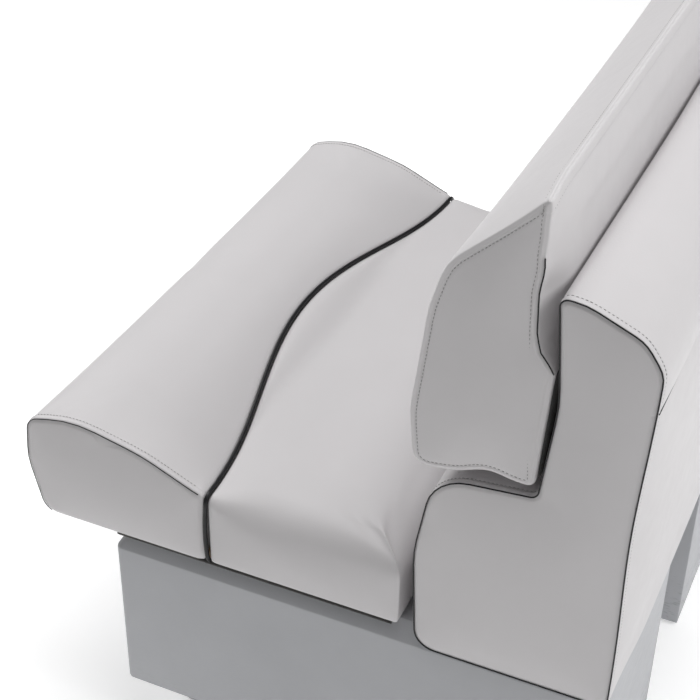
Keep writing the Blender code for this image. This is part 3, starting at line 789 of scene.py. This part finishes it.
def seat_front():
    depths = [0.0] * len(front_section(0))
    piece, held = sewn_cushion("seat_front_cushion", front_section, depths, STITCHED_HEM, 11.0,
                               lambda x, y, z: z < 7 or y > seam_y(x) - SEAM_OPEN - 4)
    swell(piece, held, pressure=3.0, cap=6.0)
    refine(piece)
    settle(piece, "seat_lid", "marine_vinyl", GREY_VINYL, "seat_cover_front", "seat_foam_front",
           "seat_front_end_left", "seat_front_end_right", fill=0.9)

    def shown(y, z):
        return z > 12 and y < -14
    runs = [run for side in (-1, 1) for run in hem_run(front_section, side, shown)]
    settle(stitches("seat_front_stitches", runs), "seat_lid", "marine_vinyl", THREAD_AND_HOLE_SHADE)
    # Painted shade: a thin dark cord in each end seam's groove stands in for the seam's shadow line.
    for side, word in SIDES:
        x = side * (HALF - 1.1)
        path = sunk(front_section(x), [1.2] * len(depths))
        line = [P(x, spot.x, spot.y) for spot in path if spot.y > 6 and spot.x < -6]
        cord("seat_front_seam_shade_" + word, line, 0.55, "seat_lid", sides=6)


def seat_end_shadow_cord():
    """Black cords of dust-cover cloth under the seat's overhanging ends: painted shade, dark strips that
    stand in for the shadow in the gap over the base's chamfer.
    """
    for side, word in SIDES:
        line = [P(side * (HALF - 7), y, UNDERSIDE - 3.4) for y in np.linspace(-116, SEAT_REAR - 9, 40)]
        settle(tube("seat_end_shadow_cord_" + word, line, 2.6, sides=8), "seat_lid", "black_cambric",
               FINISHES["black_cambric"])


def main_rows(front, rear):
    """Places from the cross seam to the rear, close together at the welt and at the rear seam."""
    near = [0.0, 1.2, 3.0, 5.5, 9.0, 14.0]
    far = [12.0, 6.0, 3.0, 1.3, 0.0]
    start, stop = front + 22, rear - 20
    count = 16
    middle = [start + (stop - start) * step / count for step in range(count + 1)]
    return [front + d for d in near] + middle + [rear - d for d in far]


def seat_main():
    """The main cushion: a top that rolls over its ends and its rear, sewn at the rear corners."""
    rolls = [2.6, 1.3, 0.5, 0.1] + [0.0] * 30
    rows_count = len(main_rows(0, SEAT_REAR))
    turns = [math.radians(a) for a in (0, 15, 30, 45, 60, 75, 90)]
    falls = [0.12, 0.27, 0.42, 0.57, 0.72, 0.86, 0.95]
    shares = [-1 + 2 * step / 64 for step in range(65)]
    ends = [1.3, 3.0, 6.0, 12.0]

    def shoulder(row):
        """The end roll tightens to the welt at the front, and opens to its full radius behind."""
        distance = main_rows(0, SEAT_REAR)[row]
        return 11 + (SHOULDER - 11) * smooth(distance, 0, 70)

    def levels(radius, top):
        """(inset, height) down a side, from the crown's edge to the turned-in underside."""
        made = [(radius * (1 - math.sin(a)), top - radius * (1 - math.cos(a))) for a in turns]
        low = UNDERSIDE + 8
        wall_top = top - radius
        made += [(0.0, wall_top + (low - wall_top) * share) for share in falls]
        return made + [(0.7, low - 3.4), (2.4, low - 6.3), (5.2, UNDERSIDE), (14.0, UNDERSIDE)]

    count = len(levels(SHOULDER, 90))

    def stations(reach):
        inner = [share * (reach - 20) for share in shares]
        return [-reach] + [-reach + e for e in ends] + inner + [reach - e for e in ends[::-1]] + [reach]

    def crown(y):
        return height_at(SEAT_TOP, y)

    def end_point(side, row, level):
        """A point of the end flap; the last row lies on the mitred rear corner seam."""
        radius = shoulder(row)
        inset, _ = levels(radius, 0)[level]
        y = main_rows(SEAM_OPEN, SEAT_REAR - inset)[row]
        _, z = levels(radius, crown(min(y, SEAT_REAR - SHOULDER)))[level]
        angle = turns[level] if level < len(turns) else math.pi / 2
        depth = rolls[row]
        if row == rows_count - 1 and level > 3:
            depth += 1.2
        out = HALF - inset - depth * math.sin(angle)
        return P(side * out, y, z - depth * math.cos(angle))

    patches = Patches()
    top_rows = []
    for row in range(rows_count):
        reach = HALF - shoulder(row)
        line = []
        for x in stations(reach):
            y = main_rows(seam_y(x) + SEAM_OPEN, SEAT_REAR - SHOULDER)[row]
            if abs(abs(x) - reach) < 1e-6:
                point = end_point(math.copysign(1, x), row, 0)
            else:
                point = P(x, y, crown(y) - rolls[row])
            line.append(point)
        top_rows.append(line)
    patches.grid(top_rows, lambda r, c: rolls[r] >= 0.7)
    for side in (-1, 1):
        flap = [[end_point(side, row, level) for row in range(rows_count)] for level in range(count)]
        patches.grid(flap, lambda r, c: rolls[c] >= 0.7 or r > count - 6
                     or (c == rows_count - 1 and r > 3))
    rear = []
    for level in range(count):
        inset, z = levels(SHOULDER, crown(SEAT_REAR - SHOULDER))[level]
        line = stations(HALF - inset)
        row = [P(x, SEAT_REAR - inset, z) for x in line]
        row[0], row[-1] = end_point(-1, rows_count - 1, level), end_point(1, rows_count - 1, level)
        rear.append(row)
    rear[0] = top_rows[-1]
    patches.grid(rear, lambda r, c: r > count - 6 or (c in (0, len(rear[0]) - 1) and r > 3))

    wall = [end_point(-1, 0, level) for level in range(count - 1, 0, -1)]
    wall += top_rows[0]
    wall += [end_point(1, 0, level) for level in range(1, count)]
    patches.fill(wall, lambda p: (p.x / MM, (p.z - DECK) / MM),
                 lambda a, b, d: P(a, seam_y(a) + SEAM_OPEN, b), 30.0, held_width=1e9)
    under = [end_point(1, row, count - 1) for row in range(rows_count)] + rear[-1][::-1][1:]
    under += [end_point(-1, row, count - 1) for row in range(rows_count - 2, -1, -1)]
    patches.fill(under, lambda p: (p.x / MM, (p.y - SEAM) / MM),
                 lambda a, b, d: P(a, b, RECESS if d > 2 else UNDERSIDE), 40.0, rings=(1.0, 3.0),
                 held_width=1e9)
    piece, held = patches.finish("seat_main_cushion")

    def limit(place, shift):
        """Keeps the rear clear of the backrest as the seat swings up."""
        y, _ = side_view(place)
        if y > 185:
            shift.y = min(shift.y, 1.2 * MM)
            shift.z = min(shift.z, (7 - 5 * smooth(y, 185, 215)) * MM)
        return shift
    swell(piece, held, pressure=3.0, cap=7.0, limit=limit)
    refine(piece)
    settle(piece, "seat_lid", "marine_vinyl", GREY_VINYL, "seat_cover_main", "seat_foam_main", fill=0.9)


def seat_welt():
    """Black piping along the cross seam, over both ends and down to the deck."""
    roll, sink = 11.0, 0.9
    reach = HALF - roll
    route = []
    for step in range(161):
        x = -reach + 2 * reach * step / 160
        route.append((x, seam_y(x), height_at(SEAT_TOP, seam_y(x)) - sink))
    end_top = height_at(SEAT_TOP, 0.0)
    turn = []
    for step in range(1, 9):
        angle = math.radians(90 * step / 8)
        turn.append((reach + (roll - sink) * math.sin(angle), 0.0,
                     end_top - roll + (roll - sink) * math.cos(angle)))
    drop = []
    low = UNDERSIDE + 1.5
    for step in range(1, 15):
        share = step / 14
        z = (end_top - roll) * (1 - share) + low * share
        drop.append((HALF - sink - 3.5 * smooth(share, 0.9, 1.0), -2.2 * math.sin(math.pi * share), z))
    tail = turn + drop
    route = [(-x, y, z) for x, y, z in tail[::-1]] + route + tail
    cord("seat_piping", [P(*spot) for spot in route], WELT_RADIUS, "seat_lid", "seat_welt", sides=14)


# ------------ the backrest

BACK_OUTLINE, BACK_DEPTHS = refined(rounded(BACK_CORNERS, 12), [((451, REAR_SEAM_Z), 1.2, 0.8)], 11)
DECK_EDGE, HANG_EDGE = 341.0, 353.0      # the ends of the backrest hang over the deck's chamfer


def back_section(x):
    """Side view of the backrest: its rear panel hangs behind the base, lower at mid width."""
    hang = smooth(abs(x), DECK_EDGE, HANG_EDGE)
    flap = BACK_LOW + (FLAP_BOTTOM - BACK_LOW) * smooth(HALF - abs(x), 15, 170)
    behind, rear_face = 60.0, 437
    count = len(BACK_OUTLINE)
    bottom = [i for i in range(count)
              if BACK_OUTLINE[i].y < BACK_LOW + 0.5 and BACK_OUTLINE[i].x < rear_face]
    inner = [(443.6, flap + 1.5), (443.4, (flap + BACK_FOOT) / 2), (443.2, BACK_FOOT)]
    path = []
    for index, spot in enumerate(BACK_OUTLINE):
        y, z = spot
        if y > rear_face and z < 380:
            y -= 5.0 * bump(z, 205, 110) * (1 - smooth(HALF - abs(x), 0, 70))
        if y > rear_face and z < behind:
            z = behind + (z - behind) * (behind - flap) / (behind - BACK_LOW)
            path.append(Vector((y, z)))
            continue
        inner_y, inner_z = y, max(z, BACK_FOOT)
        if index in bottom[:3]:
            inner_y, inner_z = inner[bottom.index(index)]
        path.append(Vector((inner_y + (y - inner_y) * hang, inner_z + (z - inner_z) * hang)))
    return path


def backrest():
    piece, held = sewn_cushion("backrest_cushion", back_section, BACK_DEPTHS, STITCHED_HEM, 12.0,
                               lambda x, y, z: z < 14, cap_spacing=11.0)

    def limit(place, shift):
        """Little swell towards the seat and the pillow, more over the top, rear and ends."""
        y, z = side_view(place)
        if z < 215:
            shift.y = max(shift.y, -2.2 * MM)
        elif y < 390:
            shift.y = max(shift.y, 0.0)
            if z < 236:
                shift.z = min(shift.z, 2.0 * MM)
        return shift
    swell(piece, held, pressure=3.0, cap=6.0, limit=limit)
    refine(piece)
    settle(piece, "bench", "marine_vinyl", GREY_VINYL, "back_cover_front", "back_cover_rear",
           "back_foam_lumbar", "back_foam_upper", "back_end_pad_left", "back_end_pad_right",
           "back_end_panel_left", "back_end_panel_right", fill=0.9)

    def shown(y, z):
        return z > 14
    runs = [run for side in (-1, 1) for run in hem_run(back_section, side, shown)]
    settle(stitches("backrest_stitches", runs), "bench", "marine_vinyl", THREAD_AND_HOLE_SHADE)
    for side, word in SIDES:
        x = side * (HALF - 1.0)
        path = sunk(back_section(x), [1.0] * len(BACK_DEPTHS))
        line = [P(x, spot.x, spot.y) for spot in path]
        cord("back_cord_" + word, line, 0.8, "bench", "back_piping_" + word, closed=True, sides=8)
    # Painted shade: a thin dark cord in the rear seam's groove stands in for its shadow line.
    seam = [P(x, 451.4 - 0.9, REAR_SEAM_Z) for x in np.linspace(-HALF + 4, HALF - 4, 40)]
    cord("back_rear_seam_shade", seam, 0.6, "bench", sides=6)


# ------------ the bolster pillow

RIDGE = (338, RIDGE_Z - 0.3)
RIDGE_STITCHES = [(331.5, RIDGE_Z - 5.5), (341, RIDGE_Z - 10)]
PILLOW_OUTLINE, PILLOW_DEPTHS = refined(rounded(PILLOW_CORNERS, 12),
                                        [(RIDGE, 1.3, 0.8)] + [(s, 0.8, 1.0) for s in RIDGE_STITCHES], 10)
# How far the end seam leaves the rear outline, as (z, y shift): a pocket above a pointed tip
POCKET = [(530, 0), (510, -3), (472, -7.5), (433, -14), (398, -15), (384, -12), (363, 0.5),
          (345, 0), (300, 0)]


def pocket_shift(z):
    for (z0, s0), (z1, s1) in zip(POCKET, POCKET[1:]):
        if z1 <= z <= z0:
            return s1 + (s0 - s1) * smooth(z, z1, z0)
    return 0.0


def pillow_section(x):
    """Side view of the pillow: its rear folds in at the ends and lies flat on the backing cloth."""
    from_end = HALF - abs(x)
    path = []
    for spot in PILLOW_OUTLINE:
        y, z = spot
        if y > 338 and z < 530:
            y += pocket_shift(z) * (1 - smooth(from_end, 3, 52))
            if z < 361:
                y += (min(y, 344.9) - y) * smooth(from_end, 9, 13)
        if z < 245:
            z += 9.0 * bump(y, 303, 22) * (1 - smooth(from_end, 10, 90))
        z -= 7.0 * smooth(z, 440, 530) * (1 - smooth(from_end, 0, 45))
        path.append(Vector((y, z)))
    return path


def pillow():
    def hold(x, y, z):
        return y > 337 and z < 366

    piece, held = sewn_cushion("bolster_pillow", pillow_section, PILLOW_DEPTHS, PLAIN_HEM, 10.0, hold,
                               crown=5.0, cap_stitch=5.0)

    def limit(place, shift):
        """The rear keeps off the backrest, and the underside keeps off its shelf."""
        y, z = side_view(place)
        if y > 330 and z < 480:
            shift.y = min(shift.y, 0.0)
        if z < 250:
            shift.z = max(shift.z, -2.0 * MM)
        return shift
    swell(piece, held, pressure=4.0, cap=10.0, limit=limit)
    refine(piece)
    settle(piece, "pillow", "marine_vinyl", GREY_VINYL, "pillow_cover_front", "pillow_cover_rear",
           "pillow_foam", "pillow_end_cap_left", "pillow_end_cap_right", fill=0.85)

    runs = []
    for stitch in RIDGE_STITCHES:
        index = nearest(PILLOW_OUTLINE, stitch)
        row = []
        for x in np.linspace(-HALF + 6, HALF - 6, 120):
            path = pillow_section(x)
            normal = outward(path)[index]
            spot = path[index] - normal * 0.5
            row.append((P(x, spot.x, spot.y), Vector((0, normal.x, normal.y))))
        runs.append(row)
    for side in (-1, 1):
        path = pillow_section(side * (HALF - 2))
        inner = sunk(path, [2.6 + 5.0] * len(path))
        run = []
        for p in inner:
            if p.x < 333 or p.y < 246:
                run.append((P(side * (HALF - 0.35), p.x, p.y), Vector((side, 0, 0))))
        start = nearest([Vector((p.y, p.z)) for p, _ in run],
                        ((SEAM + 345 * MM), DECK + 236 * MM))
        runs.append(run[start:] + run[:start] if 0 < start < len(run) - 1 else run)
    settle(stitches("pillow_stitches", runs), "pillow", "marine_vinyl", THREAD_AND_HOLE_SHADE)
    # Painted shade: a thin dark cord in each end seam's groove, from the ridge down to the pointed tip,
    # stands in for the seam's shadow line.
    for side, word in SIDES:
        x = side * (HALF - 1.0)
        path = sunk(pillow_section(x), [1.1] * len(PILLOW_DEPTHS))
        line = [P(x, p.x, p.y) for p in stretch(path, (339, RIDGE_Z - 66), (358, 364))]
        cord("pillow_seam_shade_" + word, line, 0.7, "pillow", sides=6)


def fleece_and_gap_shade():
    """Fleecy black backing between the pillow's ends and the backrest; the black strip is partly the
    backing's own colour and partly painted shade for the deep gap there.
    """
    low, high, steps = 238, 357, 20
    for side, word in SIDES:
        rows = []
        for step in range(steps + 1):
            share = step / steps
            z = low + (high - low) * share
            rim = 349.0 + 4.5 * share
            ragged = 0.35 * math.sin(step * 2.4) + 0.25 * math.sin(step * 5.1)
            ring = []
            for angle in range(0, 360, 30):
                t = math.radians(angle)
                x = side * (HALF - 30 + 26 * math.cos(t))
                ring.append(P(x, rim + 0.4 + (1.5 + ragged * 0.4) * (1 + math.sin(t)) / 1.6, z))
            rows.append(ring)
        piece = solid("fleece_and_shade_strip_" + word, rows)
        piece.data.shade_smooth()
        refine(piece)
        settle(piece, "pillow", "black_cambric", FLEECE_AND_SHADE)


# ------------ carried-over CAD parts

def finish_cad_parts():
    """Every CAD part that still shows gets the finish of its slot."""
    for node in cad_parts.values():
        for slot in node.material_slots:
            name = slot.material.name.split(".")[0] if slot.material else ""
            slot.link = "OBJECT"
            slot.material = FINISHES.get(name, PLASTIC)


# ------------ floor, light and camera

def stage():
    reach, steps = 16.0, 12
    made = bmesh.new()
    rows = [[made.verts.new((reach * (2 * i / steps - 1), reach * (2 * j / steps - 1), 0))
             for i in range(steps + 1)] for j in range(steps + 1)]
    for near, far in zip(rows, rows[1:]):
        for i in range(steps):
            made.faces.new((near[i], near[i + 1], far[i + 1], far[i]))
    floor = as_piece(made, "floor", smooth_shaded=False)
    pale, tree, shader, place = node_material("pale_floor")
    tree.links.new(blended(tree, texture(tree, place, "noise", 3.0), (0.93, 0.93, 0.93), (0.95, 0.95, 0.95)),
                   shader.inputs["Base Color"])
    white = (1.0, 1.0, 1.0, 1.0)
    preset(shader, {"Roughness": 0.85, "Emission Color": white, "Emission Strength": 0.34})
    floor.data.materials.append(pale)


def light(name, direction, distance, size, power):
    data = bpy.data.lights.new(name, "AREA")
    data.shape = "DISK"
    data.size = size
    data.energy = power
    lamp = bpy.data.objects.new(name, data)
    target = Vector((0, 0, 0.4))
    way = Vector(direction).normalized()
    lamp.location = target + way * distance
    lamp.rotation_euler = way.to_track_quat("Z", "Y").to_euler()
    bpy.context.scene.collection.objects.link(lamp)


def lights():
    world = bpy.data.worlds.new("studio")
    world.use_nodes = True
    preset(world.node_tree.nodes["Background"], {"Color": (1.0, 1.0, 1.0, 1.0), "Strength": 0.16})
    bpy.context.scene.world = world
    light("overhead_softbox", (-0.05, 0.05, 1.0), 3.0, 2.4, 53)
    light("rear_softbox", (0.0, 0.8, 0.6), 3.3, 2.0, 43)
    light("front_softbox", (-0.2, -0.8, 0.65), 3.3, 2.0, 46)


def camera():
    """Above the bench's right rear corner, looking down across the pillow to the seat."""
    azimuth, elevation, roll = math.radians(113.76), math.radians(34.84), math.radians(0.94)
    place = (1.43116, 0.51977, 1.43997)
    back = Vector((math.sin(azimuth) * math.cos(elevation), -math.cos(azimuth) * math.cos(elevation),
                   math.sin(elevation)))
    data = bpy.data.cameras.new("camera")
    data.sensor_width = 36.0
    data.lens = 79.92
    eye = bpy.data.objects.new("camera", data)
    turn = back.to_track_quat("Z", "Y").to_matrix() @ Matrix.Rotation(roll, 3, "Z")
    eye.matrix_world = Matrix.Translation(place) @ turn.to_4x4()
    bpy.context.scene.collection.objects.link(eye)
    bpy.context.scene.camera = eye


bpy.context.scene.view_settings.view_transform = "Standard"
camera()
stage()
lights()
moulded_base()
seat_front()
seat_main()
seat_welt()
seat_end_shadow_cord()
backrest()
pillow()
fleece_and_gap_shade()
finish_cad_parts()
